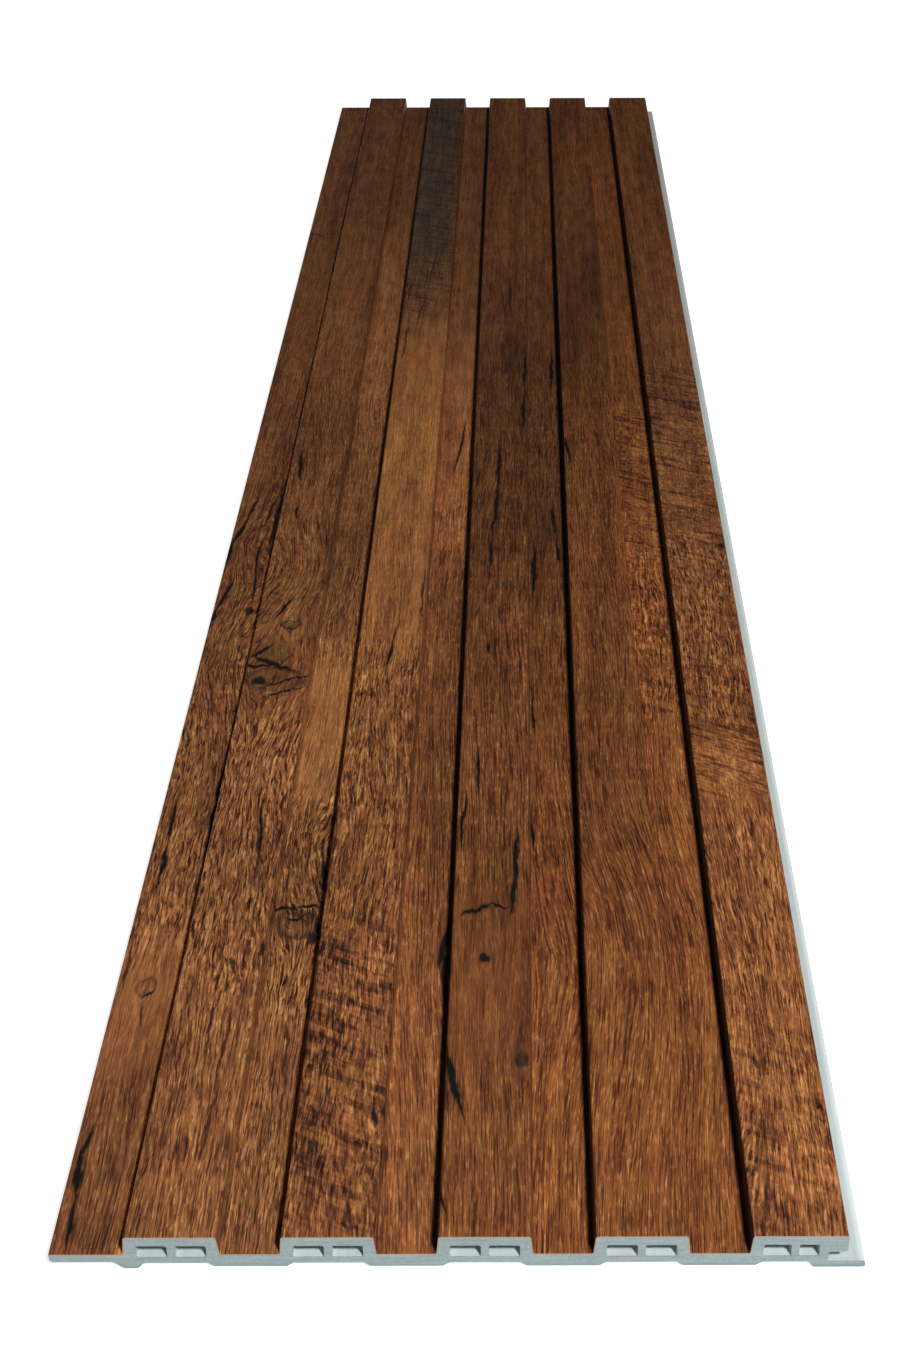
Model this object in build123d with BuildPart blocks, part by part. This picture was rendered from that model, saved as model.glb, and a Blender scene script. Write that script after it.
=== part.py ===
from build123d import *
import os

# A fluted wall panel, lying on its back: X across it from tongue to lock,
# Y along its length, Z up out of the finished face. Origin on the wall plane,
# under the middle of the panel. All sizes in millimetres.

# The piece as a whole
length = 800.0  # as cut
thickness = 9.0  # from the wall plane to the finished face of a rib
film_thickness = 0.25  # decor film, measured square to the face it covers

# Ribs, and the flat grooves between them
rib_count = 5
rib_pitch = 32.0
rib_width = 18.8  # across the finished top
lock_rib_width = 19.4  # the last rib, which reaches over the lock slot
rib_height = 4.9  # from groove floor to rib top
rib_draft = 0.5  # each side of a rib stands out this much more at its foot
rib_corner_radius = 0.6
rib_foot_radius = 0.25

# Walls round the hollow chambers, two chambers to a rib
top_wall = 2.5
side_wall = 2.2
web_wall = 1.6
floor_wall = 1.6
chamber_corner_radius = 0.5
lock_first_chamber = 5.7  # width of the lock rib's outer chamber
neck_wall = 1.9  # between the lock rib's second chamber and the slot

# Back of the panel
back_recess = 1.6  # how far the back under a rib stands off the wall
pad_standoff = 0.6  # how far the back under a groove stands off the wall
pad_shoulder = 1.3  # run of the slope at each side of a pad
bead_width = 2.9  # flat of the bearing bead under the first rib's outer wall
bead_lead = 2.2  # run of its slope on the tongue side
bead_tail = 1.2  # run of its slope on the rib side
bead_radius = 1.5
back_corner_radius = 0.8  # where pads, bead and lip run into the recessed back

# Lock: the tongue on one edge, the slot and fixing lip on the other
slot_depth = 3.9  # in from the edge of the lock rib
slot_clearance = 0.3  # above and below a neighbour's tongue
tip_clearance = 1.4  # between a neighbour's tongue tip and the slot's end, for growth in heat
slot_inner_radius = 0.3
lip_thickness = 1.6
lip_reach = 3.9  # out past the edge of the lock rib
lip_inset = 1.1  # bearing face of the lip, in past the neck
lip_shoulder = 0.9  # run of the slope where the lip's bearing face begins
lip_edge_radius = 0.6
overhang_radius = 0.9  # lower edge of the lock rib, over the slot
tip_radius = 0.9  # lower edge of the tongue's tip
film_tip_wrap = 0.7  # how far the film turns down the tongue's tip
film_lock_wrap = 1.8  # how far it turns down the edge of the lock rib

same_level = 0.01  # corners this near a level lie on it

# Levels above the wall plane
groove_floor = thickness - rib_height
tongue_back = lip_thickness + slot_clearance
slot_top = groove_floor + slot_clearance
chamber_floor = back_recess + floor_wall
chamber_top = thickness - top_wall

# Places across the panel
groove_width = rib_pitch - rib_width
tongue_reach = groove_width + slot_depth - tip_clearance
last_rib = rib_count - 1
overall_width = tongue_reach + last_rib * rib_pitch + lock_rib_width + lip_reach
tongue_tip = -overall_width / 2
lip_edge = overall_width / 2
lock_edge = lip_edge - lip_reach  # edge of the lock rib
neck_face = lock_edge - slot_depth  # closed end of the slot
neck_back = neck_face - neck_wall  # chamber side of the neck


def rib_start(number):
    """Tongue-side edge of a rib's finished top."""
    return tongue_tip + tongue_reach + number * rib_pitch


bead_left = rib_start(0) - rib_draft
bead_right = bead_left + bead_width
lip_bearing = neck_back - lip_inset
lock_rib_middle = rib_start(last_rib) + lock_rib_width / 2


def box_between(left, right, low, high, radius=0.0, mode=Mode.ADD):
    """A rectangle of the section given by its four limits."""
    with Locations(((left + right) / 2, (low + high) / 2)):
        if radius:
            RectangleRounded(right - left, high - low, radius, mode=mode)
        else:
            Rectangle(right - left, high - low, mode=mode)


def filled(*points):
    """A straight-sided area of the section, by its corners."""
    Polygon(*points, align=None)


def rib_outline(start, width):
    """A rib that widens towards its foot, down to the recessed back."""
    foot_left, foot_right = start - rib_draft, start + width + rib_draft
    filled(
        (start, thickness),
        (start + width, thickness),
        (foot_right, groove_floor),
        (foot_right, back_recess),
        (foot_left, back_recess),
        (foot_left, groove_floor),
    )


def bearing_pad(rib):
    """The thick back of the groove that follows a rib; its slopes lie under the ribs' side walls."""
    left = rib_start(rib) + rib_width - side_wall
    right = rib_start(rib + 1) + side_wall
    filled(
        (left, back_recess),
        (left + pad_shoulder, pad_standoff),
        (right - pad_shoulder, pad_standoff),
        (right, back_recess),
    )


def corners_at(sketch, level, axis=Axis.Y):
    """The section's corners at one height, from the tongue to the lip, or at one place across."""
    found = sketch.vertices().filter_by_position(axis, level - same_level, level + same_level)
    return found.sort_by(Axis.X)


# The whole section with its film on and its chambers still closed
with BuildSketch(Plane.XZ) as envelope:
    box_between(tongue_tip, bead_left, tongue_back, groove_floor)
    box_between(bead_left, neck_face, back_recess, groove_floor)
    for rib in range(last_rib):
        rib_outline(rib_start(rib), rib_width)
        bearing_pad(rib)
    rib_outline(rib_start(last_rib), lock_rib_width)

    # The lock rib's outer side is upright, and the slot is cut in under it
    box_between(lock_edge, lip_edge, 0, thickness, mode=Mode.SUBTRACT)
    box_between(neck_face, lip_edge, lip_thickness, slot_top, mode=Mode.SUBTRACT)
    filled(
        (lip_bearing - lip_shoulder, back_recess),
        (lip_bearing, 0),
        (lip_edge, 0),
        (lip_edge, lip_thickness),
        (neck_face, lip_thickness),
        (neck_face, back_recess),
    )
    filled(
        (bead_left - bead_lead, tongue_back),
        (bead_left, 0),
        (bead_right, 0),
        (bead_right + bead_tail, back_recess),
        (bead_left, groove_floor),
    )

    # Corners to round, picked by the level they lie on while the section is still sharp
    bearing_corners = corners_at(envelope, 0)
    tongue_corner, bead_foot = corners_at(envelope, tongue_back)
    slot_corner, overhang_corner = corners_at(envelope, slot_top)
    recess_corners = corners_at(envelope, back_recess).filter_by_position(Axis.X, bead_left, neck_back)
    back_corners = [bead_foot, *recess_corners, *corners_at(envelope, pad_standoff), bearing_corners[2]]
    for corners, radius in (
        (corners_at(envelope, thickness), rib_corner_radius),
        (corners_at(envelope, groove_floor)[1:], rib_foot_radius),
        (bearing_corners[:2], bead_radius),
        (back_corners, back_corner_radius),
        (corners_at(envelope, lip_edge, Axis.X), lip_edge_radius),
        ([tongue_corner], tip_radius),
        ([slot_corner], slot_inner_radius),
        ([overhang_corner], overhang_radius),
    ):
        for corner in corners:
            fillet(envelope.vertices().sort_by_distance(corner)[0], radius)

# The side of the section that the film covers
with BuildSketch(Plane.XZ) as face_side:
    box_between(tongue_tip, lock_rib_middle, groove_floor - film_tip_wrap, thickness)
    box_between(lock_rib_middle, lock_edge, thickness - film_lock_wrap, thickness)

# The film: a skin of even thickness just inside the finished face
with BuildSketch(Plane.XZ) as film_section:
    add(envelope.sketch_local)
    offset(amount=-film_thickness, mode=Mode.SUBTRACT)
    add(face_side.sketch_local, mode=Mode.INTERSECT)

# The extruded body under the film, with its chambers open
with BuildSketch(Plane.XZ) as body_section:
    add(envelope.sketch_local)
    add(film_section.sketch_local, mode=Mode.SUBTRACT)
    for rib in range(last_rib):
        outer = rib_start(rib) + side_wall
        inner = rib_start(rib) + rib_width - side_wall
        chamber = (inner - outer - web_wall) / 2
        for left in (outer, inner - chamber):
            box_between(
                left, left + chamber, chamber_floor, chamber_top, chamber_corner_radius, Mode.SUBTRACT
            )
    outer = rib_start(last_rib) + side_wall
    for left, right in (
        (outer, outer + lock_first_chamber),
        (outer + lock_first_chamber + web_wall, neck_back),
    ):
        box_between(left, right, chamber_floor, chamber_top, chamber_corner_radius, Mode.SUBTRACT)

with BuildPart() as extruded_body:
    with BuildSketch(Plane.XZ):
        add(body_section.sketch_local)
    extrude(amount=length / 2, both=True)

with BuildPart() as woodgrain_film:
    with BuildSketch(Plane.XZ):
        add(film_section.sketch_local)
    extrude(amount=length / 2, both=True)

extruded_body.part.label = "extruded_body"
woodgrain_film.part.label = "woodgrain_film"

os.makedirs("parts", exist_ok=True)
export_step(extruded_body.part, "parts/extruded_body.step")
export_step(woodgrain_film.part, "parts/woodgrain_film.step")

for piece in (extruded_body.part, woodgrain_film.part):
    print(piece.label, "section", round(piece.volume / length, 2), "mm2")
print("overall", overall_width, "x", length, "x", thickness)
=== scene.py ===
import cmath
import math

import bmesh
import bpy
import numpy as np
from mathutils import Matrix, Vector


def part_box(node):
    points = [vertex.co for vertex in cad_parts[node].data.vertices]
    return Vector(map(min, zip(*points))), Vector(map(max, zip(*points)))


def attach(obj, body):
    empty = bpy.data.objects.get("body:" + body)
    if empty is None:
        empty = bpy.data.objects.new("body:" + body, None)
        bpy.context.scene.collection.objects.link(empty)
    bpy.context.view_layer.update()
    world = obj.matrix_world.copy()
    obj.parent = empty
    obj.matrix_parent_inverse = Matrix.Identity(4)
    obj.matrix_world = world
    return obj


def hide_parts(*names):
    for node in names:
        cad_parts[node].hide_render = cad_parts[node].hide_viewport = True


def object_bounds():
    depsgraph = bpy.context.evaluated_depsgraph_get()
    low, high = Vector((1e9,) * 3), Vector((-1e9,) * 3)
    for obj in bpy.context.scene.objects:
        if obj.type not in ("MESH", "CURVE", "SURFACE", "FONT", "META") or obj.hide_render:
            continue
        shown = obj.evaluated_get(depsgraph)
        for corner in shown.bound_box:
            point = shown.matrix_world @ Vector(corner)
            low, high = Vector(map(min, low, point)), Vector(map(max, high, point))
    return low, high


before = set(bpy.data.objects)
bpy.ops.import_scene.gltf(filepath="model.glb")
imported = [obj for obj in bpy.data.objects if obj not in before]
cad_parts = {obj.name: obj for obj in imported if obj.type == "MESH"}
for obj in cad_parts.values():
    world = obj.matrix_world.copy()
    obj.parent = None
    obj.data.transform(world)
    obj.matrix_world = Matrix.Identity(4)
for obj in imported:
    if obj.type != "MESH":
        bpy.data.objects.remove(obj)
cad_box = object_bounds()
MM = 0.001

# The camera stands in front of the sawn end and a little right of its middle, and looks down
# the length of the panel. Its turn and shift are those of the photograph.
camera_place = Vector((14.0, -686.6, 322.2)) * MM
camera_dip = math.radians(32.284)
camera_roll = math.radians(-0.142)
view = bpy.data.cameras.new("view")
view.lens = 53.08
view.sensor_width = 36.0
view.shift_x = -0.0494
view.clip_start = 0.01
camera = bpy.data.objects.new("view", view)
camera.matrix_world = (
    Matrix.Translation(camera_place)
    @ Matrix.Rotation(math.pi / 2 - camera_dip, 4, "X")
    @ Matrix.Rotation(camera_roll, 4, "Z")
)
bpy.context.scene.collection.objects.link(camera)
bpy.context.scene.camera = camera
bpy.context.scene.view_settings.view_transform = "Standard"


# The body of the panel: one length of pale blue-grey wood and plastic composite, pushed through a
# die in one go with its chambers, tongue and lip. Its skin is dull from the die, and both of its
# ends are sawn square.
def colour(red, green, blue):
    """A display colour, each part 0 to 255, as the light that it stands for."""
    parts = (value / 255 for value in (red, green, blue))
    return (*(p / 12.92 if p <= 0.04045 else ((p + 0.055) / 1.055) ** 2.4 for p in parts), 1.0)


class Finish:
    """The finish of one material: its shader nodes, added one by one and joined up."""

    def __init__(self, name):
        self.material = bpy.data.materials.new(name)
        self.material.use_nodes = True
        self.tree = self.material.node_tree
        self.surface = self.tree.nodes["Principled BSDF"]

    def join(self, socket, value):
        """Link a socket to another one, or set it to a plain value."""
        if isinstance(value, bpy.types.NodeSocket):
            self.tree.links.new(value, socket)
        else:
            socket.default_value = value

    def node(self, kind, inputs, output=0, **settings):
        """A new node with these inputs and settings, of which one output is handed on."""
        made = self.tree.nodes.new(kind)
        for name, value in settings.items():
            setattr(made, name, value)
        for name, value in inputs.items():
            self.join(made.inputs[name], value)
        return made.outputs[output]

    def reckon(self, operation, *values):
        """A sum, product or other reckoning of up to three values."""
        return self.node("ShaderNodeMath", dict(enumerate(values)), operation=operation)

    def times(self, value, factor):
        """The product of two values."""
        return self.reckon("MULTIPLY", value, factor)

    def total(self, *values):
        """All the values added up."""
        result = values[0]
        for value in values[1:]:
            result = self.reckon("ADD", result, value)
        return result

    def most(self, *values):
        """The largest of the values."""
        result = values[0]
        for value in values[1:]:
            result = self.reckon("MAXIMUM", result, value)
        return result

    def span(self, value, low, high, first=0.0, last=1.0, smooth=False):
        """The value between low and high, laid out from first to last and held at both ends."""
        inputs = {"Value": value, "From Min": low, "From Max": high, "To Min": first, "To Max": last}
        kind = "SMOOTHSTEP" if smooth else "LINEAR"
        return self.node("ShaderNodeMapRange", inputs, interpolation_type=kind)

    def speckle(self, place, size, seed, detail=2.0, roughness=0.5, flat="3D"):
        """Noise whose grains have this size in each direction, and another pattern for each seed."""
        scale = [1 / each for each in size]
        spot = self.node("ShaderNodeVectorMath", {0: place, 1: scale, 2: (seed, seed, seed)},
                         operation="MULTIPLY_ADD")
        return self.node("ShaderNodeTexNoise", {"Vector": spot, "Scale": 1.0, "Detail": detail,
                                                "Roughness": roughness}, noise_dimensions=flat)

    def blend(self, share, first, second, way="MIX"):
        """Two colours laid over each other. Inputs 6 and 7 and output 2 are the node's colours."""
        return self.node("ShaderNodeMix", {"Factor": share, 6: first, 7: second}, output=2,
                         data_type="RGBA", blend_type=way)

    def scale_of_colours(self, value, *stops):
        """A run of colours, each at its place from 0 to 1."""
        made = self.tree.nodes.new("ShaderNodeValToRGB")
        for spare in list(made.color_ramp.elements)[1:]:
            made.color_ramp.elements.remove(spare)
        made.color_ramp.elements[0].position, made.color_ramp.elements[0].color = stops[0]
        for place, tint in stops[1:]:
            made.color_ramp.elements.new(place).color = tint
        self.join(made.inputs["Fac"], value)
        return made.outputs["Color"]

    def relief(self, height, depth):
        """Bumps as deep as depth, in metres, where height goes from 0 to 1."""
        bump = self.node("ShaderNodeBump", {"Height": height, "Distance": depth, "Strength": 1.0})
        self.join(self.surface.inputs["Normal"], bump)


def body_finish(half_width, half_length):
    """Dull pale composite, with saw scratches and torn fibre on the two sawn ends."""
    saw_reach = 0.2 * MM  # this near an end the surface is the saw's
    pale_start, pale_full = 1.6 * MM, 0.6 * MM  # in from the lip's edge, which is paler towards it
    shade_low, shade_high = 0.4 * MM, 1.4 * MM  # the lowest part of the cut is painted darker up to here, painted shade near the floor
    skin_relief = 0.06 * MM
    finish = Finish("blue_grey_composite")
    place = finish.node("ShaderNodeTexCoord", {}, output="Object")
    along = finish.node("ShaderNodeSeparateXYZ", {"Vector": place}, output="Y")
    up = finish.node("ShaderNodeSeparateXYZ", {"Vector": place}, output="Z")
    aside = finish.node("ShaderNodeSeparateXYZ", {"Vector": place}, output="X")
    sawn = finish.reckon("GREATER_THAN", finish.reckon("ABSOLUTE", along), half_length - saw_reach)
    cloud = finish.speckle(place, (0.011, 0.05, 0.011), 3, detail=3)
    flow = finish.speckle(place, (0.0009, 0.2, 0.0009), 5, detail=2)
    scratch = finish.speckle(place, (0.012, 1.0, 0.00028), 7, detail=2, roughness=0.6)
    crumb = finish.speckle(place, (0.0006, 1.0, 0.0006), 9, detail=2, roughness=0.7)
    # The skin is painted lighter towards the far end: painted light that makes up for the lamp's
    # fall-off there
    skin = finish.scale_of_colours(
        finish.total(finish.times(cloud, 0.6), finish.times(flow, 0.4),
                     finish.span(along, -half_length, half_length, -0.12, 0.2)),
        (0.2, colour(183, 194, 194)), (0.5, colour(197, 208, 206)), (0.8, colour(214, 223, 220)),
    )
    paler_edge = finish.span(aside, half_width - pale_start, half_width - pale_full, 0.0, 0.6)
    skin = finish.blend(paler_edge, skin, colour(243, 249, 248))
    cut = finish.scale_of_colours(
        finish.total(finish.times(scratch, 0.55), finish.times(crumb, 0.45)),
        (0.34, colour(126, 141, 141)), (0.5, colour(141, 156, 157)), (0.66, colour(157, 171, 170)),
    )
    # Painted shade: the cut darker towards its bottom edge, near the floor
    cut = finish.blend(finish.span(up, shade_low, shade_high, 0.6, 0.0), cut, colour(116, 130, 130))
    finish.join(finish.surface.inputs["Base Color"], finish.blend(sawn, skin, cut))
    grit = finish.total(finish.times(scratch, 0.7), finish.times(crumb, 0.3))
    # Inputs 2 and 3 of a mix of plain numbers are the two that it mixes
    height = finish.node("ShaderNodeMix", {"Factor": sawn, 2: flow, 3: grit}, data_type="FLOAT")
    finish.relief(height, skin_relief)
    roughness = finish.span(cloud, 0.3, 0.7, 0.5, 0.62)
    finish.join(finish.surface.inputs["Roughness"], roughness)
    return finish.material


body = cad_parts["extruded_body"]
body_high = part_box("extruded_body")[1]
body.data.materials.clear()
body.data.materials.append(body_finish(body_high.x, body_high.y))


# The decor film: a printed plastic foil a quarter of a millimetre thick, pressed hot over the
# finished face in one sheet. It starts on the tongue's tip, lies down in every groove and over
# every rib, and ends a little way down the edge of the last rib.
film_low, film_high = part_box("woodgrain_film")
film_thickness = 0.25
tongue_tip = film_low.x / MM
lock_edge = film_high.x / MM
half_length = film_high.y / MM
face_level = film_high.z / MM
rib_height = 4.9
groove_level = face_level - rib_height
rib_count = 5
rib_pitch = 32.0
rib_width = 18.8
last_rib_width = 19.4
rib_draft = 0.5  # a rib's foot stands out this much on each side
rib_corner = 0.6
rib_foot = 0.25
tip_wrap = 0.7  # how far the film turns down the tongue's tip
lock_wrap = 1.8  # how far it turns down the edge of the last rib
first_rib = lock_edge - last_rib_width - (rib_count - 1) * rib_pitch
film_rows = 200
rows_under = 10  # the hidden underside needs only a few
sharpest_smooth = math.radians(35)  # a sharper fold than this stays a crease


def film_corners():
    """The corners of the face across the panel, as x + z * 1j, each with its radius."""
    yield complex(tongue_tip, groove_level - tip_wrap), 0.0
    yield complex(tongue_tip, groove_level), 0.0
    for number in range(rib_count):
        start = first_rib + number * rib_pitch
        yield complex(start - rib_draft, groove_level), rib_foot
        yield complex(start, face_level), rib_corner
        if number < rib_count - 1:
            yield complex(start + rib_width, face_level), rib_corner
            yield complex(start + rib_width + rib_draft, groove_level), rib_foot
    yield complex(lock_edge, face_level), rib_corner
    yield complex(lock_edge, face_level - lock_wrap), 0.0


def film_line(depth):
    """The film's section at a depth under its face. Every depth has the same count of points."""
    widest_step, arc_steps = 1.9, 4
    spots, radii = zip(*film_corners())
    legs = [(after - before) / abs(after - before) for before, after in zip(spots, spots[1:])]
    line = [spots[0] - 1j * depth * legs[0]]

    def run_to(end, run):
        """Even steps to the end of a straight, as many as its run in the face needs."""
        steps = math.ceil(abs(run) / widest_step)
        begin = line[-1]
        line.extend(begin + (end - begin) * step / steps for step in range(1, steps + 1))

    for number, (arrive, leave) in enumerate(zip(legs, legs[1:]), 1):
        turn = cmath.phase(leave / arrive)
        inward = (arrive + leave) / (1 + (arrive * leave.conjugate()).real)
        corner = spots[number] - 1j * depth * inward
        radius = 0.0
        if radii[number]:
            radius = radii[number] + math.copysign(depth, turn)
        begin = corner - arrive * radius * math.tan(abs(turn) / 2)
        run_to(begin, spots[number] - spots[number - 1])
        if radius:
            hub = begin + 1j * arrive * math.copysign(radius, turn)
            for step in range(1, arc_steps + 1):
                line.append(hub + (begin - hub) * cmath.exp(1j * turn * step / arc_steps))
    run_to(spots[-1] - 1j * depth * legs[-1], spots[-1] - spots[-2])
    return np.array(line)


face_line = film_line(0.0)
under_line = film_line(film_thickness)
developed = np.concatenate([[0.0], np.cumsum(abs(np.diff(face_line)))])
film_width = developed[-1]
columns = len(face_line)


def film_mesh():
    """The film as a closed skin, with a flat layout of the whole sheet for its print."""
    face_rows = np.linspace(-half_length, half_length, film_rows + 1)
    under_rows = np.linspace(-half_length, half_length, rows_under + 1)
    points = [(spot.real * MM, y * MM, spot.imag * MM) for y in face_rows for spot in face_line]
    points += [(spot.real * MM, y * MM, spot.imag * MM) for y in under_rows for spot in under_line]
    # Each side of the skin has a band of its own in the flat layout
    face_top, near_band, far_band, tip_band, lock_band, under_band = (
        (0.0, 0.93), (0.935, 0.95), (0.955, 0.97), (0.974, 0.98), (0.984, 0.99), (0.993, 0.999)
    )
    shares = developed / film_width
    faces, layout = [], []

    def face(column, row):
        """The number of a point on the face."""
        return row * columns + column

    def under(column, row):
        """The number of a point on the underside."""
        return (film_rows + 1 + row) * columns + column

    def add(corners, places):
        """One face of the mesh, with its corners' places in the flat layout."""
        faces.append(corners)
        layout.extend(places)

    def level(band, share):
        """The height in the flat layout, part of the way up a band."""
        return band[0] + (band[1] - band[0]) * share

    def sheet(spot, rows, band):
        """One side of the film, in rows along the panel."""
        for row in range(rows):
            low, high = level(band, row / rows), level(band, (row + 1) / rows)
            for column in range(columns - 1):
                left, right = shares[column], shares[column + 1]
                add([spot(column, row), spot(column + 1, row),
                     spot(column + 1, row + 1), spot(column, row + 1)],
                    [(left, low), (right, low), (right, high), (left, high)])

    sheet(face, film_rows, face_top)
    sheet(under, rows_under, under_band)
    for band, top_row, under_row in ((near_band, 0, 0), (far_band, film_rows, rows_under)):
        for column in range(columns - 1):
            left, right = shares[column], shares[column + 1]
            add([under(column, under_row), under(column + 1, under_row),
                 face(column + 1, top_row), face(column, top_row)],
                [(left, band[0]), (right, band[0]), (right, band[1]), (left, band[1])])

    # The two long edges join the many rows of the face to the few of the underside
    step = film_rows // rows_under
    for band, column in ((tip_band, 0), (lock_band, columns - 1)):
        for row in range(rows_under):
            edge = range((row + 1) * step, row * step - 1, -1)
            add([under(column, row), under(column, row + 1), *(face(column, r) for r in edge)],
                [(row / rows_under, band[0]), ((row + 1) / rows_under, band[0]),
                 *((r / film_rows, band[1]) for r in edge)])

    mesh = bpy.data.meshes.new("woodgrain_decor_film")
    mesh.from_pydata(points, [], faces)
    bake_map = mesh.uv_layers.new(name="OFBake")
    bake_map.data.foreach_set("uv", np.array(layout, np.float32).ravel())
    shaper = bmesh.new()
    shaper.from_mesh(mesh)
    bmesh.ops.recalc_face_normals(shaper, faces=shaper.faces)
    shaper.to_mesh(mesh)
    shaper.free()
    mesh.shade_smooth()
    mesh.set_sharp_from_angle(angle=sharpest_smooth)
    return mesh


film = bpy.data.objects.new("woodgrain_decor_film", film_mesh())
bpy.context.scene.collection.objects.link(film)
even_shading = film.modifiers.new("even_shading", "WEIGHTED_NORMAL")
even_shading.keep_sharp = True


# The print on the film: weathered brown oak boards, drawn at full size in the film's own flat
# sheet before it was pressed on, so that cracks and knots run on from a groove over a rib. Places
# are in millimetres across and along the panel, and the ribs and grooves give the columns.
def board(number):
    """The limits across the panel of a rib, taken midway down its sides."""
    start = first_rib + number * rib_pitch
    return start - rib_draft / 2, start + rib_width + rib_draft / 2


def groove(number):
    """The limits across the panel of the groove on a rib's right; number -1 is the tongue."""
    return board(number)[1] if number >= 0 else tongue_tip, board(number + 1)[0]


def inside(value, low, high, soft):
    """1 between two limits and 0 outside them, with edges this soft."""
    rise = np.clip((value - low) / soft + 0.5, 0, 1)
    fall = np.clip((high - value) / soft + 0.5, 0, 1)
    share = rise * fall
    return share * share * (3 - 2 * share)


def foot(number, before, after=0.0):
    """The limits of a narrow strip along a rib's foot, on its tongue side."""
    edge = board(number)[0]
    return edge - before, edge + after


# Columns and stretches that reach a little past the film's edges
near_end, far_end = -half_length - 2, half_length + 2
whole = (near_end, far_end)
all_over = (tongue_tip - 1, lock_edge + 1)
tongue = (tongue_tip - 1, groove(-1)[1])
tongue_side = (tongue_tip - 1, board(0)[1])

# Broad shades of the print, with painted shade towards the far end and painted light and shade at the
# ribs' feet: columns across, stretch along, softness along, lighter or darker
tones_and_painted_shade = (
    (tongue, (-340, -300), 22, 0.25),
    (tongue, (near_end, -342), 16, -0.16),
    (board(0), (-250, -192), 30, 0.24),
    (board(0), (near_end, -310), 30, 0.12),
    (groove(0), (0, 190), 60, 0.36),
    (groove(0), (-246, -160), 16, 0.67),
    (board(1), (-176, 92), 70, 0.62),
    (board(1), (150, far_end), 50, -0.3),
    (board(1), (84, 150), 40, -0.1),
    (groove(1), (-110, 70), 80, 0.40),
    (groove(1), (-262, -168), 40, -0.20),
    (groove(1), (near_end, -300), 40, 0.12),
    (board(2), (-130, 62), 60, -0.36),
    (board(2), (near_end, -130), 40, -0.18),
    (groove(2), (-232, 66), 60, -0.34),
    (board(3), (-290, far_end), 80, -0.24),
    (board(2), (62, far_end), 60, -0.12),
    (groove(0), (190, far_end), 60, -0.1),
    (groove(2), (66, far_end), 40, -0.1),
    (groove(3), (-120, 40), 60, 0.05),
    (board(4), (-20, 60), 60, -0.14),
    # Painted shade: the whole film darker towards the far end, beside the lamp's own fall-off
    (all_over, (110, far_end), 140, -0.1),
    # Painted light that lightens the shadow at the feet of the first two ribs, and painted shade that
    # darkens the groove at the feet of the last three
    (foot(0, 0.9, 0.3), whole, 1, 2.0),
    (foot(1, 0.9, 0.3), (near_end, -130), 60, 1.1),
    (foot(1, 0.9, 0.3), (60, far_end), 60, 0.9),
    (foot(2, 1.2), whole, 1, -0.5),
    (foot(3, 1.6), whole, 1, -0.75),
    (foot(4, 1.2), whole, 1, -0.75),
    (board(4), (near_end, -252), 20, 0.14),
    (board(3), (near_end, -200), 60, -0.04),
    (board(1), (40, 120), 40, -0.04),
)

# Clouds of lighter or darker wood, and two darker smears along the first rib's foot at -70.6 and -70.2:
# place across and along, reach across and along, amount
clouds = (
    (-77, -318, 5, 22, 0.07), (-78, -60, 9, 130, -0.16), (-58, -18, 12, 36, -0.32),
    (-52, -110, 6, 26, -0.22), (-70.6, -240, 1.8, 60, -0.35), (-70.2, -80, 1.6, 50, -0.25),
    (-54, 255, 6, 50, -0.2), (-43, -92, 7, 45, -0.2), (-43, -325, 6, 24, 0.16),
    (-26, -322, 10, 18, 0.3), (-21, 80, 6, 50, -0.2), (-12, -125, 7, 36, -0.3),
    (10, 66, 7, 72, -0.38), (2, -185, 6, 18, -0.18), (6, -284, 11, 24, -0.2),
    (20, -82, 8, 42, -0.28), (35, 66, 9, 74, -0.36), (43, 130, 6, 34, -0.2),
    (38, 285, 11, 70, 0.3), (36, -328, 9, 24, -0.16), (53, 90, 6, 110, -0.18),
    (53, -128, 6, 36, 0.2), (66, -236, 5, 16, 0.14),
)

# Where the wood is worn to a net of dark lines and pale flakes: columns, stretch, softness, amount
worn = (
    (tongue, (-304, -140), 30, 0.75),
    (tongue, (-140, -60), 30, 0.5),
    (board(0), (-322, -204), 24, 0.9),
    (board(0), (-204, -90), 24, 0.35),
    (groove(0), (-332, -240), 14, 0.9),
    (groove(0), (near_end, -340), 30, 0.55),
    (groove(0), (-170, -110), 30, 0.45),
    (board(0), (near_end, -322), 30, 0.4),
    (board(1), (near_end, -168), 16, 0.55),
    ((board(1)[0], board(1)[0] + 8), (-250, -190), 16, 0.35),
    (groove(3), (-204, -100), 30, 0.6),
    (groove(3), (-100, 12), 30, 0.2),
    (board(4), (-212, -100), 24, 0.7),
    (board(4), (-100, 30), 40, 0.2),
    (board(4), (near_end, -250), 30, 0.55),
)

# Where the fine grain is calm and hardly shows: columns, stretch, softness, amount
calm = (
    (all_over, (40, far_end), 160, 0.7),
    (board(1), (-160, 90), 40, 0.7),
    (groove(0), (-240, -162), 14, 0.5),
    (board(0), (-206, -148), 14, 0.5),
    (tongue, (-348, -296), 10, 0.7),
    (board(2), (-346, -286), 10, 0.6),
    (groove(1), (-60, 90), 40, 0.5),
)

# Rough saw marks across the grain: columns, stretch, softness, amount
saw_marks = (
    (groove(3), (-110, 8), 24, 0.9),
    (groove(3), (-204, -110), 24, 0.4),
    (board(4), (-112, 36), 30, 0.9),
    (board(4), (-212, -112), 24, 0.35),
    (board(4), (-246, -212), 12, 1.0),
    (board(1), (near_end, -296), 30, 0.35),
    (board(4), (near_end, -330), 40, 0.3),
    (board(1), (100, far_end), 60, 0.5),
)

# Dark slanting furrows of a coarse saw: columns, stretch, softness, amount
furrowed = (
    (board(1), (near_end, -300), 24, 1.0),
    (board(4), (near_end, -345), 30, 0.4),
)

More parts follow.
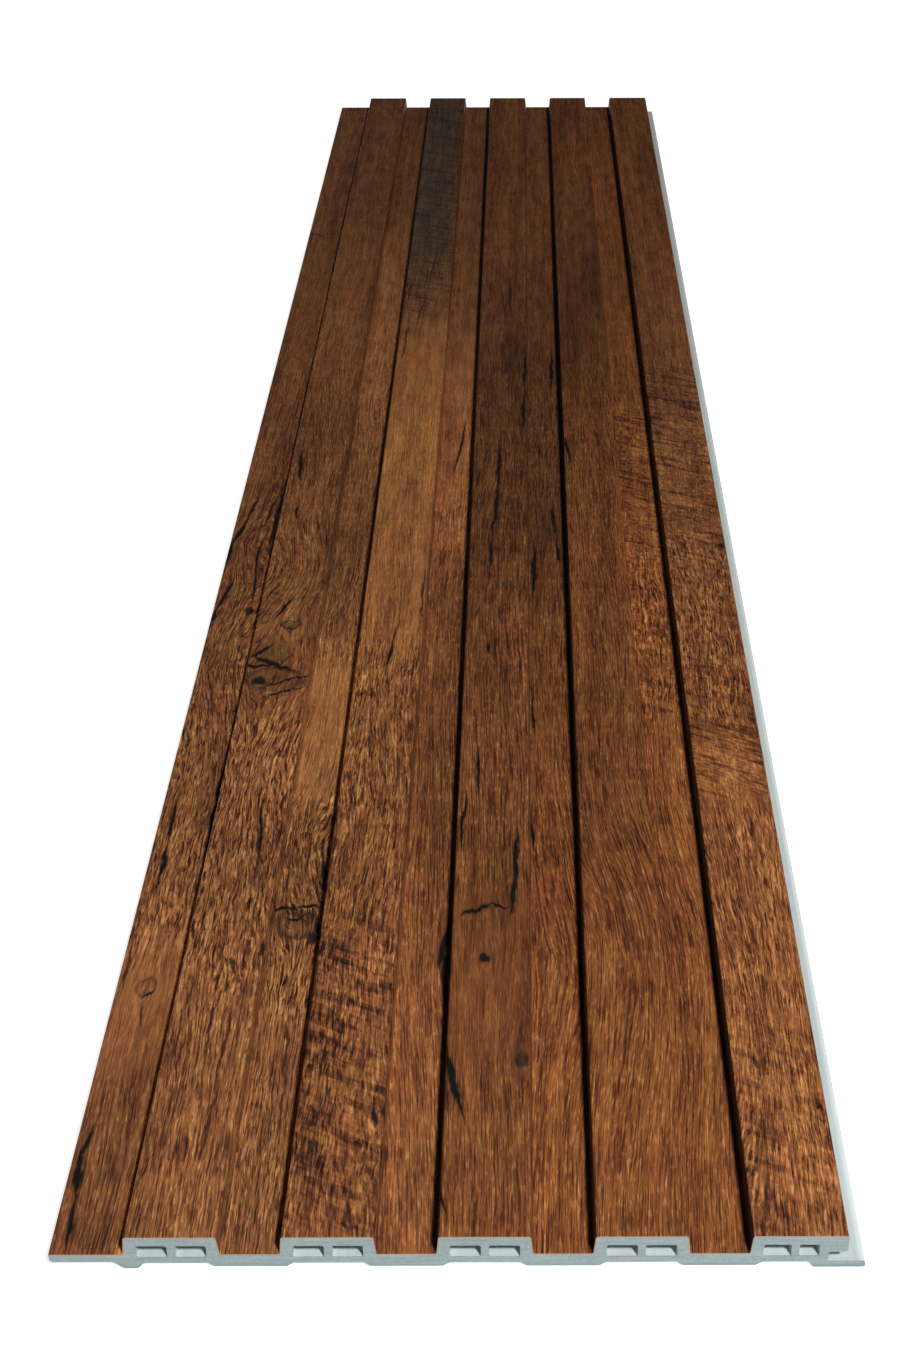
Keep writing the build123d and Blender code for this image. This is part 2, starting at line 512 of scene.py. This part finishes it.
# Where the wood has turned grey: columns, stretch, softness, amount
stains = (
    ((board(1)[0], board(1)[1] - 1.2), (160, far_end), 60, 0.3),
    ((board(1)[0], board(1)[1] - 2.6), (160, far_end), 60, 0.3),
    ((board(1)[0], board(1)[1] - 1.8), (92, far_end), 50, 0.25),
    (tongue_side, whole, 1, 0.17),
    (groove(0), whole, 1, 0.2),
    (board(1), whole, 1, 0.13),
    (board(4), whole, 1, 0.1),
    (tongue_side, (190, far_end), 200, 0.08),
    (groove(1), whole, 1, 0.1),
    (groove(1), (-40, far_end), 200, 0.12),
    (board(2), (near_end, -60), 100, 0.05),
    (board(2), (-60, far_end), 100, 0.12),
    (groove(2), (-110, far_end), 100, 0.13),
    (board(3), (40, 260), 80, 0.12),
    (board(4), (-130, 110), 60, 0.08),
)

# Where the wood is yellower: columns, stretch, softness, amount
yellowed = (
    (groove(0), whole, 1, 0.035),
    (groove(0), (-246, -160), 16, 0.085),
    (board(1), (-140, 150), 60, 0.05),
    (board(1), (-176, 60), 50, 0.075),
    (board(1), (60, 150), 50, 0.03),
    (board(1), (near_end, -140), 60, 0.015),
    (board(0), whole, 1, 0.015),
    (groove(3), whole, 1, 0.012),
)

# Where the grain leans aside: place across, place along, reach across, reach along, shift
leans = (
    (40, -316, 26, 58, -8.5),
    (24, -306, 15, 26, -3.0),
    (66, -330, 16, 60, -3.0),
    (-74, -170, 12, 34, 7.0),
    (-78, -95, 7, 30, 3.5),
    (-58, -120, 14, 22, -5.0),
    (-56, -235, 10, 36, 3.0),
    (-26, -250, 10, 40, -2.5),
    (6, -140, 12, 60, 2.0),
    (-42, -262, 8, 26, 3.0),
    (-10, -425, 14, 90, -9.0),
)

# Knots that the grain goes round: place across, place along, reach across, reach along, pull
rounds = (
    (-59.7, -181, 10, 22, 0.7),
    (-57.2, -156, 4, 8, 0.6),
    (-63.6, -138, 3, 6, 0.5),
    (-42.9, -289, 7, 14, 0.6),
    (-76.4, -319, 4, 9, 0.5),
    (4.4, -313, 3, 6, 0.5),
    (13.4, -348, 4, 9, 0.5),
    (18.3, -306, 3, 6, 0.4),
)

across = np.tile(face_line.real, film_rows + 1)
across = np.concatenate([across, np.tile(face_line.real, rows_under + 1)])
sheet_place = np.concatenate([np.tile(developed, film_rows + 1), np.tile(developed, rows_under + 1)])
along = np.array([vertex.co.y for vertex in film.data.vertices]) / MM
edge_softness = 0.4


def flat_place(x):
    """Place on the flat sheet of a spot at x on the pressed film."""
    return float(np.interp(x, face_line.real, developed))


def spread(patches):
    """The amounts of all patches added up over the film."""
    result = np.zeros(len(across))
    for (left, right), (near, far), soft, amount in patches:
        share = inside(across, left, right, edge_softness) * inside(along, near, far, soft)
        result += amount * share
    return result


def drifting(spots):
    """The amounts of all clouds added up over the film."""
    result = np.zeros(len(across))
    for x, y, reach_x, reach_y, amount in spots:
        result += amount * np.exp(-(((across - x) / reach_x) ** 2) - ((along - y) / reach_y) ** 2)
    return result


def grain_shift():
    """How far the grain lies aside of its straight line."""
    result = np.zeros(len(across))
    for x, y, reach_x, reach_y, shift in leans:
        aside, ahead = sheet_place - flat_place(x), along - y
        result += shift * np.exp(-((aside / reach_x) ** 2) - (ahead / reach_y) ** 2)
    for x, y, reach_x, reach_y, pull in rounds:
        aside, ahead = sheet_place - flat_place(x), along - y
        result -= pull * aside * np.exp(-((aside / reach_x) ** 2) - (ahead / reach_y) ** 2)
    return result


def paint(name, values):
    """Values at every corner of the film's mesh, for its material to read."""
    kind = "FLOAT_VECTOR" if values.ndim == 2 else "FLOAT"
    layer = film.data.attributes.new(name, kind, "POINT")
    field = "vector" if values.ndim == 2 else "value"
    layer.data.foreach_set(field, values.astype(np.float32).ravel())


paint("sheet_place", np.stack([sheet_place, along, np.zeros(len(along))], axis=1))
paint("grain_shift", grain_shift())
# Brightness of the print's tones together with the painted light and shade
brightness = 1 + spread(tones_and_painted_shade) + drifting(clouds)
paint("shade", np.stack([brightness, brightness * (1 + spread(yellowed)), brightness], axis=1))
paint("worn", np.clip(spread(worn), 0, 1))
paint("calm", np.clip(spread(calm), 0, 1))
paint("sawn", np.clip(spread(saw_marks), 0, 1))
paint("banded", np.clip(spread(furrowed), 0, 1))
paint("stain", np.clip(spread(stains), 0, 1))

# Dark cracks in the print, each from one end to the other: x, y, x, y, width, sideways bow
cracks = (
    # the tongue
    (-77.5, -58, -80.2, -85, 1.0, 0.0), (-79.4, -75, -83.2, -99, 1.2, 0.0),
    (-82.5, -90, -83.5, -120, 1.7, 0.0), (-79.4, -116, -82.7, -142, 1.1, 0.0),
    (-82.1, -135, -83.8, -155, 1.4, 0.0), (-82.9, -157, -83.9, -170, 0.8, 0.0),
    (-71.6, -62, -73.3, -82, 1.0, 0.0), (-73.4, -90, -72.6, -120, 1.1, 0.0),
    (-72.9, -112, -72.1, -134, 1.0, 0.0), (-69.8, -48, -70.3, -104, 1.2, 0.0),
    (-69.4, -222, -69.6, -262, 1.4, 0.0),
    (-72.8, -140, -69.8, -139, 2.4, 0.0), (-79.7, -237, -80.0, -261, 1.0, -0.2),
    (-80.0, -259, -79.2, -283, 1.0, 0.0), (-77.9, -285, -78.4, -293, 0.6, 0.0),
    (-82.5, -301, -81.9, -319, 0.8, 0.2), (-80.7, -363, -81.5, -374, 1.0, 0.0),
    (-81.5, -369, -81.0, -385, 2.0, -0.2), (-81.0, -382, -79.9, -400, 1.5, 0.0),
    (-77.4, -321, -74.4, -318, 1.0, -0.5), (-76.4, -324, -76.0, -332, 0.6, 0.0),
    (-73.1, -206, -73.1, -218, 0.9, 0.0), (-71.7, -220, -72.1, -234, 0.8, 0.0),
    (-83.9, 203, -77.0, 201, 1.2, 0.0),
    # the first rib
    (-67.4, -173, -53.4, -183, 2.6, -0.4), (-68.4, -179, -59.0, -180, 1.6, 0.0),
    (-65.4, -32, -63.1, -62, 1.0, 0.0),
    (-58.4, -179, -55.0, -173, 0.7, 0.0), (-58.9, -181, -59.3, -191, 0.8, 0.0),
    (-64.0, -193, -48.6, -185, 1.0, 1.4), (-62.2, -199, -49.2, -191, 1.0, 1.2),
    (-67.8, -176, -61.0, -167, 1.2, 0.0), (-64.4, -197, -62.0, -206, 0.8, 0.3),
    (-61.0, -206, -62.3, -222, 0.8, 0.0), (-58.4, -137, -62.2, -153, 1.1, 0.2),
    (-64.7, -161, -67.2, -175, 0.6, 0.2), (-65.4, -136, -61.8, -139, 0.6, 0.3),
    (-55.8, -249, -53.7, -276, 1.0, -0.2), (-49.6, -243, -51.4, -254, 0.9, 0.0),
    (-54.3, -328, -54.7, -361, 0.9, 0.2), (-54.4, -355, -55.1, -381, 0.8, 0.0),
    (-58.5, -326, -58.2, -348, 0.6, 0.0), (-66.2, -376, -66.7, -387, 0.8, 0.0),
    (-62.5, -76, -61.8, -86, 1.2, 0.0), (-53.0, -161, -52.8, -170, 0.4, 0.0),
    # the first groove
    (-49.2, -290, -42.0, -287, 1.6, 0.3), (-43.6, -287, -36.4, -288, 1.3, 0.3),
    (-38.6, -266, -37.2, -280, 1.4, 0.0), (-46.4, -292, -40.0, -290, 1.2, -0.3),
    (-40.3, -275, -37.3, -285, 0.8, 0.0), (-37.8, -292, -37.0, -297, 1.8, 0.0),
    (-46.9, -295, -44.4, -296, 0.8, 0.0), (-41.7, -327, -40.5, -351, 0.95, 0.0),
    (-40.5, -348, -40.2, -368, 0.8, 0.0), (-49.7, -257, -48.7, -270, 0.6, 0.0),
    (-49.0, -283, -49.0, -295, 0.9, 0.0), (-45.9, -283, -40.0, -295, 0.6, 0.0),
    # the second rib and groove
    (-24.0, -151, -25.7, -169, 0.8, 0.0), (-25.6, -166, -26.7, -180, 1.4, 0.0),
    (-24.0, 172, -26.6, 117, 0.9, 0.2), (-26.6, 120, -29.6, 78, 0.8, 0.0),
    (-32.5, 92, -33.4, 44, 0.8, 0.0), (-24.0, -91, -23.5, -99, 0.6, 0.0),
    (-34.6, 128, -24.6, 126, 0.9, 0.0), (-35.0, 111, -25.6, 112, 0.8, 0.0),
    (-34.8, 99, -28.0, 97, 0.8, 0.0), (-33.6, 136, -34.2, 96, 0.7, 0.0),
    (-30.4, 138, -31.0, 104, 0.7, 0.0), (-27.2, 150, -27.6, 118, 0.8, 0.0),
    (-17.8, -117, -18.2, -159, 0.8, 0.0), (-13.1, -99, -13.7, -112, 0.9, 0.0),
    (-12.2, -206, -11.7, -218, 0.8, 0.0), (-7.6, 2, -10.7, -43, 1.0, 0.0),
    (-7.0, -311, -4.2, -286, 2.5, 0.0), (-6.0, -302, -5.1, -324, 1.8, 0.0),
    # the third rib
    (5.4, -22, 5.0, -70, 1.1, 0.0), (5.4, -57, 2.8, -102, 1.4, 0.2),
    (3.0, -100, 3.5, -121, 1.2, 0.0), (3.5, -117, 2.4, -133, 0.9, 0.0),
    (7.9, 137, 8.4, 90, 0.9, 0.2), (4.4, 128, 7.0, 80, 0.6, 0.0), (14.6, 62, 14.4, 12, 1.1, 0.0),
    (14.5, 26, 13.5, -24, 1.2, 0.0),
    (0.2, -145, -1.0, -154, 0.9, 0.0), (0.0, -201, 0.7, -225, 0.9, 0.0),
    (0.7, -220, 1.6, -246, 1.2, 0.0), (-1.6, -244, -2.6, -273, 1.0, -0.2),
    (11.3, -152, 13.0, -187, 0.6, 0.0), (2.9, -165, 3.0, -173, 1.0, 0.0),
    (5.2, -161, 5.0, -176, 0.9, 0.0), (9.0, -159, 9.3, -175, 0.6, 0.0),
    (11.8, -260, 11.6, -286, 1.1, 0.0), (11.7, -276, 10.3, -298, 1.3, 0.1),
    (-2.2, -297, 6.2, -292, 1.8, 0.3), (4.8, -292, 10.4, -294, 1.1, 0.0),
    (-4.0, -338, 0.9, -368, 1.8, -0.3), (-4.0, -373, -2.5, -395, 1.4, -0.2),
    (-3.6, -356, -2.9, -365, 0.8, 0.0), (12.6, -375, 12.0, -389, 0.6, 0.0),
    # the third groove and what is right of it
    (17.5, -94, 16.5, -132, 1.8, 0.0), (15.8, -130, 15.4, -142, 0.8, 0.0),
    (23.5, -68, 24.1, -89, 1.4, 0.0), (24.8, -91, 25.4, -110, 1.0, 0.0),
    (23.1, -55, 22.0, -64, 0.6, 0.0), (15.2, -163, 16.5, -191, 0.9, 0.0),
    (16.3, -186, 16.8, -211, 1.0, 0.0), (15.5, -249, 15.9, -263, 1.4, 0.0),
    (15.8, -260, 17.9, -275, 0.6, 0.0), (25.2, 69, 24.2, 26, 1.2, 0.0),
    (28.4, -22, 30.5, -45, 1.2, 0.0), (43.3, -262, 45.9, -276, 0.6, 0.0),
    (54.3, -278, 56.9, -295, 0.8, 0.0),
)

# Knots: place across and along, half width and half length, their colour and how strong it is,
# and how dark their rim is
soot = colour(26, 24, 24)
olive = colour(92, 72, 34)
umber = colour(84, 50, 36)
knots = (
    (-60.5, -171, 5.5, 6.5, olive, 0.45, 0.0),
    (-59.6, -187, 7.8, 6.0, umber, 0.55, 0.5),
    (-63.4, -188, 2.4, 2.6, soot, 1.0, 0.0),
    (-57.1, -156, 2.9, 2.5, olive, 0.5, 0.9),
    (-63.6, -138, 1.9, 2.2, umber, 0.2, 0.6),
    (-64.8, -152, 1.6, 2.6, umber, 0.3, 0.6),
    (-42.7, -294, 4.8, 5.2, umber, 0.45, 0.65),
    (-38.4, -299, 1.6, 2.8, soot, 0.9, 0.0),
    (-53.3, -282, 2.6, 6.0, umber, 0.5, 0.0),
    (-76.4, -317.5, 2.3, 3.0, umber, 0.15, 0.5),
    (4.4, -313, 2.6, 3.4, umber, 0.35, 0.0),
    (4.4, -313, 1.7, 1.8, soot, 1.0, 0.0),
    (12.4, -348, 2.1, 8.0, umber, 0.5, 0.0),
    (13.2, -348, 1.5, 3.4, soot, 0.7, 0.0),
    (18.3, -306, 1.3, 2.4, umber, 0.7, 0.3),
    (20.2, -304, 0.9, 1.6, soot, 0.4, 0.0),
    (-72.3, -139, 1.6, 3.0, soot, 0.85, 0.0),
)

hairline = 1.0  # narrower cracks are brown, not black
far_off = 3.0  # in half sizes of a crack, well outside it
crack_margin = 3.0  # how far past a strip's border its cracks are looked for
wall_shade_shares = (0.0, 0.3, 0.85, 1.0, 1.0)  # how dark the painted shade is on each rib's tongue-side wall
saw_slant = 0.52  # how much the saw marks lean, along the panel for each step across
emboss = 0.07 * MM
strip_borders = [flat_place(board(number)[1]) for number in range(rib_count - 1)]


class OakPrint(Finish):
    """The print on one strip of the film, between two borders on the flat sheet."""

    def __init__(self, left, right):
        super().__init__("oak_print")
        self.left, self.right = left, right
        self.sheet = self.painted("sheet_place", "Vector")
        self.side = self.node("ShaderNodeSeparateXYZ", {"Vector": self.sheet}, output="X")
        self.ahead = self.node("ShaderNodeSeparateXYZ", {"Vector": self.sheet}, output="Y")
        self.worn = self.painted("worn")
        self.calm = self.painted("calm")
        self.sawn = self.painted("sawn")
        self.grain = self.wandering_grain()

    def painted(self, name, output="Fac"):
        """The values that were painted on the film's mesh under this name."""
        return self.node("ShaderNodeAttribute", {}, output=output, attribute_name=name)

    def noise(self, place, width, length, seed, detail=1, roughness=0.5):
        """Soft noise from 0 to 1, in grains of this width and length."""
        return self.speckle(place, (width, length, 1), seed, detail, roughness, flat="2D")

    def stripes(self, width, length, seed, detail=1):
        """Soft stripes of this width and length along the grain, from -1 to 1."""
        return self.span(self.noise(self.grain, width, length, seed, detail), 0.28, 0.72, -1, 1)

    def strokes(self, place, width, length, seed, low, high, detail=1):
        """Separate marks of this width and length, 1 inside and 0 between them."""
        return self.span(self.noise(place, width, length, seed, detail), low, high, smooth=True)

    def outline(self, pattern):
        """Thin lines where a pattern passes through a half."""
        off = self.reckon("ABSOLUTE", self.reckon("SUBTRACT", pattern, 0.5))
        return self.span(off, 0.0, 0.04, 1.0, 0.0, smooth=True)

    def wandering_grain(self):
        """Places along the grain, which wanders by itself as well as round the knots."""
        slow = self.span(self.noise(self.sheet, 16, 110, 11), 0, 1, -2.6, 2.6)
        quick = self.span(self.noise(self.sheet, 5, 45, 12), 0, 1, -0.45, 0.45)
        curly = self.span(self.noise(self.sheet, 4, 14, 13), 0, 1, -0.9, 0.9)
        wander = self.total(self.side, self.painted("grain_shift"), slow, quick,
                            self.times(self.worn, curly))
        return self.node("ShaderNodeCombineXYZ", {"X": wander, "Y": self.ahead, "Z": 0.0})

    def fine_grain(self, pores):
        """Pores, glints and specks along the grain, weaker where the wood is calm or sawn."""
        fine_pores = self.strokes(self.grain, 0.26, 8, 27, 0.54, 0.65)
        glints = self.strokes(self.grain, 0.42, 18, 28, 0.54, 0.67)
        fine = self.total(self.times(pores, -0.22), self.times(fine_pores, -0.16),
                          self.times(glints, 0.14), 0.045)
        fine = self.total(fine, self.times(self.stripes(0.7, 15, 30), 0.055))
        fine = self.times(fine, self.span(self.most(self.calm, self.sawn), 0, 1, 1.0, 0.3))
        specks = self.strokes(self.grain, 0.45, 3.6, 29, 0.58, 0.66)
        grit = self.total(self.times(self.stripes(0.24, 2.4, 24), 0.05), self.times(specks, 0.2), -0.02)
        return self.reckon("MULTIPLY_ADD", grit, self.span(self.calm, 0, 1, 1.0, 0.4), fine)

    def worn_wood(self, flake, pits):
        """Pale flakes with dark outlines, pale chips and dark pits, where the wood is worn."""
        chips = self.strokes(self.grain, 0.6, 4.2, 34, 0.56, 0.6)
        tone = self.total(self.times(self.span(flake, 0.46, 0.54, smooth=True), 0.14),
                          self.times(self.outline(flake), -0.27),
                          self.times(chips, 0.2), self.times(pits, -0.36), 0.02)
        patches = self.span(self.noise(self.sheet, 7, 18, 35, detail=2), 0.3, 0.6, -0.45, 0.45)
        share = self.span(self.reckon("MULTIPLY_ADD", self.worn, patches, self.worn), 0.0, 1.0)
        return self.times(tone, share)

    def saw_cuts(self, pits):
        """Saw marks that slant across the grain: short rough strokes, long lines and furrows."""
        slant = self.reckon("MULTIPLY_ADD", self.side, saw_slant, self.ahead)
        place = self.node("ShaderNodeCombineXYZ", {"X": self.side, "Y": slant, "Z": 0.0})
        chatter = self.span(self.noise(place, 2.4, 1.2, 41, detail=2), 0.36, 0.64, -1, 1)
        lines = self.strokes(place, 26, 3.0, 43, 0.54, 0.62, detail=2)
        drifts = self.span(self.noise(place, 22, 9, 42), 0.35, 0.65, -1, 1)
        rough = self.total(self.times(chatter, 0.13), self.times(lines, -0.26),
                           self.times(drifts, 0.08), 0.05)
        furrows = self.strokes(place, 14, 4.2, 44, 0.5, 0.62, detail=3)
        furrows = self.times(self.times(furrows, self.span(pits, 0, 1, 0.6, 1.0)), -0.3)
        return self.total(self.times(rough, self.sawn), self.times(furrows, self.painted("banded")))

    def wood(self, tone):
        """The colour of the wood from its tone, with its drifts, grey stains, broad shades and the
        painted light and shade that the broad shades hold.
        """
        wood = self.scale_of_colours(
            tone,
            (0.0, colour(40, 19, 10)), (0.28, colour(89, 47, 25)), (0.5, colour(134, 79, 42)),
            (0.72, colour(170, 108, 58)), (1.0, colour(214, 155, 90)),
        )
        drift = self.noise(self.grain, 6, 30, 51, detail=2)
        reddish, yellowish = (1.05, 0.96, 0.97, 1.0), (1.0, 1.0, 0.93, 1.0)
        tint = self.scale_of_colours(drift, (0.36, reddish), (0.64, yellowish))
        wood = self.blend(1.0, wood, tint, "MULTIPLY")
        grey = self.scale_of_colours(
            tone, (0.0, colour(27, 24, 21)), (0.5, colour(98, 87, 73)), (1.0, colour(150, 134, 108)),
        )
        wood = self.blend(self.times(self.painted("stain"), 0.8), wood, grey)
        return self.blend(1.0, wood, self.painted("shade", "Color"), "MULTIPLY")

    def ragged_place(self):
        """Places on the sheet, shifted a little so that knots and cracks have ragged edges."""
        coarse = self.node("ShaderNodeVectorMath", {0: self.sheet, 1: (0.3, 0.09, 1.0)},
                           operation="MULTIPLY")
        shift = self.node("ShaderNodeTexNoise", {"Vector": coarse, "Scale": 1.0, "Detail": 3.0,
                                                 "Roughness": 0.6}, output="Color",
                          noise_dimensions="2D")
        shift = self.node("ShaderNodeVectorMath", {0: shift, 1: (0.5, 0.5, 0.5)}, operation="SUBTRACT")
        place = self.node("ShaderNodeVectorMath", {0: shift, 1: (2.4, 5.0, 0.0), 2: self.sheet},
                          operation="MULTIPLY_ADD")
        return self.node("ShaderNodeVectorMath", {0: place, 1: (0.0, 0.0, 1.0)}, operation="ADD")

    def distance(self, place, x, y, direction, unit, offset=0.0):
        """How many units a place, whose third part is 1, lies from (x, y) in a direction."""
        start = -(x * direction.real + y * direction.imag) / unit + offset
        slope = (direction.real / unit, direction.imag / unit, start)
        return self.node("ShaderNodeVectorMath", {0: place, 1: slope}, output="Value",
                         operation="DOT_PRODUCT")

    def with_knots(self, wood, place):
        """The wood with this strip's knots, each with its heart and its dark rim."""
        for x, y, half_x, half_y, tint, heart, rim in knots:
            middle = flat_place(x)
            if not self.left - 2 * half_x < middle < self.right + 2 * half_x:
                continue
            over = self.distance(place, middle, y, 1, half_x)
            up = self.distance(place, middle, y, 1j, half_y)
            far = self.reckon("SQRT", self.reckon("MULTIPLY_ADD", over, over, self.times(up, up)))
            wood = self.blend(self.span(far, 0.6, 1.15, heart, 0.0, smooth=True), wood, tint)
            if rim:
                off_rim = self.reckon("ABSOLUTE", self.reckon("SUBTRACT", far, 1.0))
                wood = self.blend(self.span(off_rim, 0.02, 0.24, rim, 0.0, smooth=True), wood, soot)
        return wood

    def with_cracks(self, wood, place):
        """The wood with this strip's cracks: black with a brown halo, or thin and brown."""
        thin = deep = far_off
        for x, y, end_x, end_y, width, bow in cracks:
            begin, end = complex(flat_place(x), y), complex(flat_place(end_x), end_y)
            leftmost, rightmost = sorted((begin.real, end.real))
            if rightmost < self.left - crack_margin or leftmost > self.right + crack_margin:
                continue
            middle, direction = (begin + end) / 2, (end - begin) / abs(end - begin)
            lean = 2 * bow / width
            run = self.distance(place, middle.real, middle.imag, direction, abs(end - begin) / 2)
            aside = self.distance(place, middle.real, middle.imag, 1j * direction, width / 2, -lean)
            run_square = self.times(run, run)
            if bow:
                aside = self.reckon("MULTIPLY_ADD", run_square, lean, aside)
            reach = self.reckon("ADD", run_square, self.reckon("ABSOLUTE", aside))
            if width < hairline:
                thin = self.reckon("MINIMUM", thin, reach)
            else:
                deep = self.reckon("MINIMUM", deep, reach)
        wood = self.blend(self.span(deep, 1.0, 2.2, 0.4, 0.0, smooth=True), wood, colour(70, 40, 24))
        wood = self.blend(self.span(thin, 0.4, 1.4, 0.85, 0.0, smooth=True), wood, colour(50, 26, 17))
        return self.blend(self.span(deep, 0.5, 1.3, 1.0, 0.0, smooth=True), wood, colour(20, 15, 13))

    def with_wall_shade_and_cut_edge(self, wood, share):
        """The wood with painted shade down the tongue side of each rib, which faces away from the
        lamp, and plain and pale on the foil's cut edge."""
        normal = self.node("ShaderNodeTexCoord", {}, output="Normal")
        turned = self.node("ShaderNodeSeparateXYZ", {"Vector": normal}, output="X")
        end_on = self.node("ShaderNodeSeparateXYZ", {"Vector": normal}, output="Y")
        # Painted shade: walls whose normal points to the tongue side turn near black
        wall_shade = self.span(turned, -0.75, -0.97, 0.0, share, smooth=True)
        wood = self.blend(wall_shade, wood, colour(8, 5, 4))
        cut = self.reckon("GREATER_THAN", self.reckon("ABSOLUTE", end_on), 0.9)
        return self.blend(cut, wood, colour(164, 146, 126))


def print_finish(number):
    """The oak print on one rib and the groove left of it: grain, wear, saw marks, knots, cracks."""
    left = strip_borders[number - 1] if number else 0.0
    right = strip_borders[number] if number < rib_count - 1 else film_width
    oak = OakPrint(left, right)
    pores = oak.strokes(oak.grain, 0.42, 16, 25, 0.53, 0.62)
    fine = oak.fine_grain(pores)
    mottle = oak.span(oak.noise(oak.sheet, 4.5, 17, 23, detail=2), 0.3, 0.7, -0.06, 0.06)
    flake = oak.noise(oak.grain, 1.7, 14, 31, detail=2, roughness=0.55)
    pits = oak.strokes(oak.grain, 0.62, 6.0, 33, 0.565, 0.6)
    worn = oak.worn_wood(flake, pits)
    cuts = oak.saw_cuts(pits)
    broad = oak.times(oak.stripes(9, 190, 21), 0.06)
    narrow = oak.times(oak.stripes(2.0, 80, 22, detail=2), 0.07)
    tone = oak.total(0.5, broad, narrow, fine, mottle, worn, cuts)

    wood = oak.wood(tone)
    place = oak.ragged_place()
    wood = oak.with_cracks(oak.with_knots(wood, place), place)
    oak.join(oak.surface.inputs["Base Color"], oak.with_wall_shade_and_cut_edge(wood, wall_shade_shares[number]))
    pressed = oak.times(oak.worn, oak.total(pits, oak.outline(flake)))
    oak.relief(oak.total(1.0, oak.times(pores, -0.6), oak.times(pressed, -0.6)), emboss)
    oak.join(oak.surface.inputs["Roughness"], oak.span(tone, 0.2, 0.8, 0.62, 0.5))
    oak.join(oak.surface.inputs["Specular IOR Level"], 0.35)
    return oak.material


for number in range(rib_count):
    film.data.materials.append(print_finish(number))

# Each face takes the print of the strip that it lies in
corner_place = np.empty(len(film.data.loops), np.int32)
film.data.loops.foreach_get("vertex_index", corner_place)
strips = [
    int(np.searchsorted(strip_borders, sheet_place[corner_place[part.loop_indices]].mean()))
    for part in film.data.polygons
]
film.data.polygons.foreach_set("material_index", strips)

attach(film, "root")
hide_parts("woodgrain_film")


# What it lies on and is lit by: a plain white floor that keeps the panel's soft shadow, one soft
# lamp high up in front and to the right, so that the far end is dimmer and each rib shades the
# groove on its left, and a room that the camera sees white and that adds little light.
floor_reach = 6.0
floor_gap = 0.2 * MM  # below the panel's lowest point
shadow_reach = 0.12  # out from the panel, where the floor turns quite white
room_light = 0.035  # what the room adds beside the lamp
seen_white = 1.0


def floor_finish():
    """White to the camera, with the lamp's shadows near the panel."""
    finish = Finish("white_floor")
    finish.join(finish.surface.inputs["Base Color"], colour(236, 236, 236))
    finish.join(finish.surface.inputs["Roughness"], 0.9)
    tree = finish.tree
    glow = tree.nodes.new("ShaderNodeEmission")
    path = tree.nodes.new("ShaderNodeLightPath")
    direct = finish.most(path.outputs["Is Camera Ray"], path.outputs["Is Glossy Ray"],
                         path.outputs["Is Transmission Ray"])
    place = finish.node("ShaderNodeTexCoord", {}, output="Object")
    off_panel = finish.node("ShaderNodeVectorMath", {0: place}, operation="ABSOLUTE")
    off_panel = finish.node("ShaderNodeVectorMath",
                            {0: off_panel, 1: (cad_box[1].x, cad_box[1].y, 0.0)}, operation="SUBTRACT")
    off_panel = finish.node("ShaderNodeVectorMath", {0: off_panel, 1: (0.0, 0.0, 0.0)},
                            operation="MAXIMUM")
    away = finish.node("ShaderNodeVectorMath", {0: off_panel}, output="Value", operation="LENGTH")
    lift = finish.span(away, 0.0, shadow_reach, 0.8, 1.0, smooth=True)
    finish.join(glow.inputs["Strength"], finish.times(direct, lift))
    both = tree.nodes.new("ShaderNodeAddShader")
    finish.join(both.inputs[0], finish.surface.outputs[0])
    finish.join(both.inputs[1], glow.outputs[0])
    finish.join(tree.nodes["Material Output"].inputs["Surface"], both.outputs[0])
    return finish.material


floor_mesh = bpy.data.meshes.new("floor")
floor_mesh.from_pydata(
    [(x * floor_reach, y * floor_reach, 0.0) for x, y in ((-1, -1), (1, -1), (1, 1), (-1, 1))],
    [], [(0, 1, 2, 3)],
)
floor = bpy.data.objects.new("floor", floor_mesh)
floor.location.z = cad_box[0].z - floor_gap
floor_mesh.materials.append(floor_finish())
bpy.context.scene.collection.objects.link(floor)

lamp_place = Vector((0.36, -1.04, 0.95))
lamp_aim = Vector((0.0, -0.2, 0.0))
lamp_data = bpy.data.lights.new("lamp", "AREA")
lamp_data.shape = "DISK"
lamp_data.size = 0.14
lamp_data.energy = 16.8
lamp = bpy.data.objects.new("lamp", lamp_data)
lamp.matrix_world = (
    Matrix.Translation(lamp_place)
    @ (lamp_aim - lamp_place).to_track_quat("-Z", "Y").to_matrix().to_4x4()
)
bpy.context.scene.collection.objects.link(lamp)

room = bpy.data.worlds.new("room")
room.use_nodes = True
sky = room.node_tree.nodes["Background"]
sky.inputs["Color"].default_value = (1.0, 1.0, 1.0, 1.0)
seen = room.node_tree.nodes.new("ShaderNodeLightPath")
strength = room.node_tree.nodes.new("ShaderNodeMapRange")
strength.inputs["To Min"].default_value = room_light
strength.inputs["To Max"].default_value = seen_white
room.node_tree.links.new(seen.outputs["Is Camera Ray"], strength.inputs["Value"])
room.node_tree.links.new(strength.outputs[0], sky.inputs["Strength"])
bpy.context.scene.world = room
